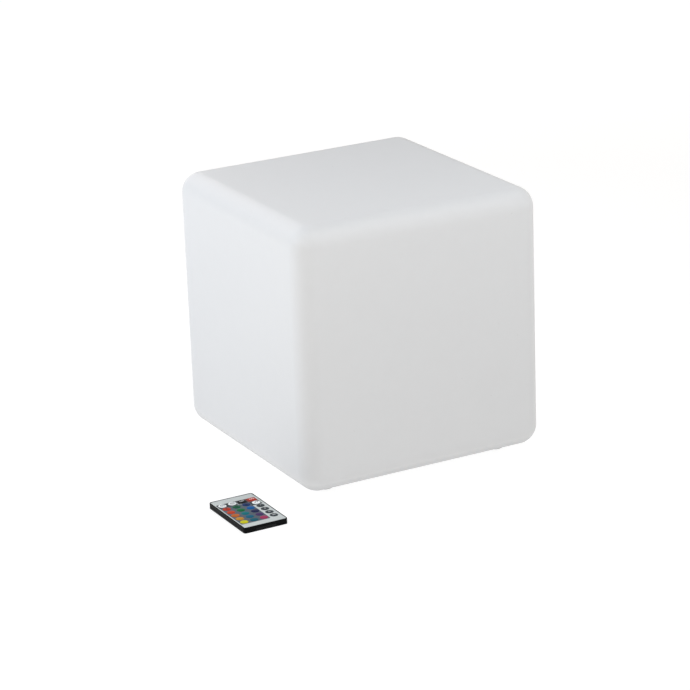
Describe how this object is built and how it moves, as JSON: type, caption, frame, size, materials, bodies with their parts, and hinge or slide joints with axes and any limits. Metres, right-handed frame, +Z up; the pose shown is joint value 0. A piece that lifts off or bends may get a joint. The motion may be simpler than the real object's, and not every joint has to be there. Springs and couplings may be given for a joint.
{
  "type": "led cube light",
  "caption": "Milky white cube lamp with rounded edges on four low feet, lit by a battery LED module under it, with a thin infra-red remote control with coloured keys.",
  "frame": {"origin": "on the floor under the centre of the cube", "axes": "+Z up out of the cube's top face, +X to the right and the lamp's front to -Y"},
  "size_m": [0.393, 0.331, 0.307],
  "materials": {
    "shell": "milky white rotationally moulded polyethylene",
    "brass_insert": "plain",
    "seal": "matt",
    "steel_screw": "zinc plated",
    "module_plastic": "fine moulded grain",
    "white_board": "white solder mask",
    "led_package": "white package with a phosphor window",
    "receiver_resin": "dark resin",
    "frosted_dome": "frosted",
    "cell_sleeve": "shrink sleeve",
    "black_plastic": "fine moulded grain",
    "green_board": "green solder mask",
    "component_resin": "moulded",
    "lead_insulation": "smooth",
    "plated_metal": "nickel plated",
    "soft_cover": "matt silicone",
    "button": "smooth",
    "remote_black": "fine satin",
    "overlay_film": "silver grey film with a dark grey printed field",
    "clear_resin": "clear",
    "effect_key": "grey printed film",
    "key_brighter": "printed film",
    "key_dimmer": "printed film",
    "key_off": "printed film",
    "key_on": "printed film",
    "key_red": "printed film",
    "key_green": "printed film",
    "key_blue": "printed film",
    "key_white": "printed film",
    "key_scarlet": "printed film",
    "key_leaf_green": "printed film",
    "key_sky_blue": "printed film",
    "key_orange": "printed film",
    "key_turquoise": "printed film",
    "key_navy": "printed film",
    "key_amber": "printed film",
    "key_lagoon": "printed film",
    "key_purple": "printed film",
    "key_yellow": "printed film",
    "key_dark_teal": "printed film",
    "key_magenta": "printed film"
  },
  "bodies": {
    "lamp": {"cube_shell": "shell", "foot_pads": "shell", "insert_nuts": "brass_insert", "base_gasket": "seal", "base_screws": "steel_screw", "module_housing": "module_plastic", "led_board": "white_board", "led_chips": "led_package", "board_screws": "steel_screw", "ir_receiver": "receiver_resin", "diffuser_dome": "frosted_dome", "dome_seal": "seal", "battery_cells": "cell_sleeve", "battery_cradle": "black_plastic", "control_board": "green_board", "control_components": "component_resin", "battery_leads": "lead_insulation", "led_leads": "lead_insulation", "charge_jack": "black_plastic", "charge_pin": "plated_metal", "jack_nut": "plated_metal", "cover_anchor": "soft_cover", "switch_body": "black_plastic", "switch_nut": "plated_metal"},
    "button": {"power_button": "button"},
    "cover": {"socket_cover": "soft_cover"},
    "remote_control": {"remote_bottom_case": "remote_black", "remote_top_frame": "remote_black", "remote_overlay": "overlay_film", "remote_board": "green_board", "remote_domes": "plated_metal", "remote_components": "component_resin", "remote_ir_led": "clear_resin", "cell_contacts": "plated_metal"},
    "tray": {"battery_tray": "black_plastic", "coin_cell": "plated_metal"},
    "key_brighter": {"key_brighter": "key_brighter"},
    "key_dimmer": {"key_dimmer": "key_dimmer"},
    "key_off": {"key_off": "key_off"},
    "key_on": {"key_on": "key_on"},
    "key_red": {"key_red": "key_red"},
    "key_green": {"key_green": "key_green"},
    "key_blue": {"key_blue": "key_blue"},
    "key_white": {"key_white": "key_white"},
    "key_scarlet": {"key_scarlet": "key_scarlet"},
    "key_leaf_green": {"key_leaf_green": "key_leaf_green"},
    "key_sky_blue": {"key_sky_blue": "key_sky_blue"},
    "key_effect_one": {"key_effect_one": "effect_key"},
    "key_orange": {"key_orange": "key_orange"},
    "key_turquoise": {"key_turquoise": "key_turquoise"},
    "key_navy": {"key_navy": "key_navy"},
    "key_effect_two": {"key_effect_two": "effect_key"},
    "key_amber": {"key_amber": "key_amber"},
    "key_lagoon": {"key_lagoon": "key_lagoon"},
    "key_purple": {"key_purple": "key_purple"},
    "key_effect_three": {"key_effect_three": "effect_key"},
    "key_yellow": {"key_yellow": "key_yellow"},
    "key_dark_teal": {"key_dark_teal": "key_dark_teal"},
    "key_magenta": {"key_magenta": "key_magenta"},
    "key_effect_four": {"key_effect_four": "effect_key"}
  },
  "joints": [
    {"name": "remote_lift", "type": "slide", "parent": "lamp", "child": "remote_control", "axis": [0, 0, 1], "range_m": [0, 0.3]},
    {"name": "power_press", "type": "slide", "parent": "lamp", "child": "button", "axis": [0, 0, 1], "range_m": [0, 0.0014], "stiffness_N_per_m": 1500},
    {"name": "cover_swing", "type": "hinge", "parent": "lamp", "child": "cover", "pos_m": [-0.02755, -0.042, 0.00855], "axis": [0, 1, 0], "range_deg": [0, 110]},
    {"name": "tray_slide", "type": "slide", "parent": "remote_control", "child": "tray", "axis": [0, -1, 0], "range_m": [0, 0.027]},
    {"name": "key_brighter_press", "type": "slide", "parent": "remote_control", "child": "key_brighter", "axis": [0, 0, -1], "range_m": [0, 0.0003], "stiffness_N_per_m": 5000},
    {"name": "key_dimmer_press", "type": "slide", "parent": "remote_control", "child": "key_dimmer", "axis": [0, 0, -1], "range_m": [0, 0.0003], "stiffness_N_per_m": 5000},
    {"name": "key_off_press", "type": "slide", "parent": "remote_control", "child": "key_off", "axis": [0, 0, -1], "range_m": [0, 0.0003], "stiffness_N_per_m": 5000},
    {"name": "key_on_press", "type": "slide", "parent": "remote_control", "child": "key_on", "axis": [0, 0, -1], "range_m": [0, 0.0003], "stiffness_N_per_m": 5000},
    {"name": "key_red_press", "type": "slide", "parent": "remote_control", "child": "key_red", "axis": [0, 0, -1], "range_m": [0, 0.0003], "stiffness_N_per_m": 5000},
    {"name": "key_green_press", "type": "slide", "parent": "remote_control", "child": "key_green", "axis": [0, 0, -1], "range_m": [0, 0.0003], "stiffness_N_per_m": 5000},
    {"name": "key_blue_press", "type": "slide", "parent": "remote_control", "child": "key_blue", "axis": [0, 0, -1], "range_m": [0, 0.0003], "stiffness_N_per_m": 5000},
    {"name": "key_white_press", "type": "slide", "parent": "remote_control", "child": "key_white", "axis": [0, 0, -1], "range_m": [0, 0.0003], "stiffness_N_per_m": 5000},
    {"name": "key_scarlet_press", "type": "slide", "parent": "remote_control", "child": "key_scarlet", "axis": [0, 0, -1], "range_m": [0, 0.0003], "stiffness_N_per_m": 5000},
    {"name": "key_leaf_green_press", "type": "slide", "parent": "remote_control", "child": "key_leaf_green", "axis": [0, 0, -1], "range_m": [0, 0.0003], "stiffness_N_per_m": 5000},
    {"name": "key_sky_blue_press", "type": "slide", "parent": "remote_control", "child": "key_sky_blue", "axis": [0, 0, -1], "range_m": [0, 0.0003], "stiffness_N_per_m": 5000},
    {"name": "key_effect_one_press", "type": "slide", "parent": "remote_control", "child": "key_effect_one", "axis": [0, 0, -1], "range_m": [0, 0.0003], "stiffness_N_per_m": 5000},
    {"name": "key_orange_press", "type": "slide", "parent": "remote_control", "child": "key_orange", "axis": [0, 0, -1], "range_m": [0, 0.0003], "stiffness_N_per_m": 5000},
    {"name": "key_turquoise_press", "type": "slide", "parent": "remote_control", "child": "key_turquoise", "axis": [0, 0, -1], "range_m": [0, 0.0003], "stiffness_N_per_m": 5000},
    {"name": "key_navy_press", "type": "slide", "parent": "remote_control", "child": "key_navy", "axis": [0, 0, -1], "range_m": [0, 0.0003], "stiffness_N_per_m": 5000},
    {"name": "key_effect_two_press", "type": "slide", "parent": "remote_control", "child": "key_effect_two", "axis": [0, 0, -1], "range_m": [0, 0.0003], "stiffness_N_per_m": 5000},
    {"name": "key_amber_press", "type": "slide", "parent": "remote_control", "child": "key_amber", "axis": [0, 0, -1], "range_m": [0, 0.0003], "stiffness_N_per_m": 5000},
    {"name": "key_lagoon_press", "type": "slide", "parent": "remote_control", "child": "key_lagoon", "axis": [0, 0, -1], "range_m": [0, 0.0003], "stiffness_N_per_m": 5000},
    {"name": "key_purple_press", "type": "slide", "parent": "remote_control", "child": "key_purple", "axis": [0, 0, -1], "range_m": [0, 0.0003], "stiffness_N_per_m": 5000},
    {"name": "key_effect_three_press", "type": "slide", "parent": "remote_control", "child": "key_effect_three", "axis": [0, 0, -1], "range_m": [0, 0.0003], "stiffness_N_per_m": 5000},
    {"name": "key_yellow_press", "type": "slide", "parent": "remote_control", "child": "key_yellow", "axis": [0, 0, -1], "range_m": [0, 0.0003], "stiffness_N_per_m": 5000},
    {"name": "key_dark_teal_press", "type": "slide", "parent": "remote_control", "child": "key_dark_teal", "axis": [0, 0, -1], "range_m": [0, 0.0003], "stiffness_N_per_m": 5000},
    {"name": "key_magenta_press", "type": "slide", "parent": "remote_control", "child": "key_magenta", "axis": [0, 0, -1], "range_m": [0, 0.0003], "stiffness_N_per_m": 5000},
    {"name": "key_effect_four_press", "type": "slide", "parent": "remote_control", "child": "key_effect_four", "axis": [0, 0, -1], "range_m": [0, 0.0003], "stiffness_N_per_m": 5000}
  ]
}
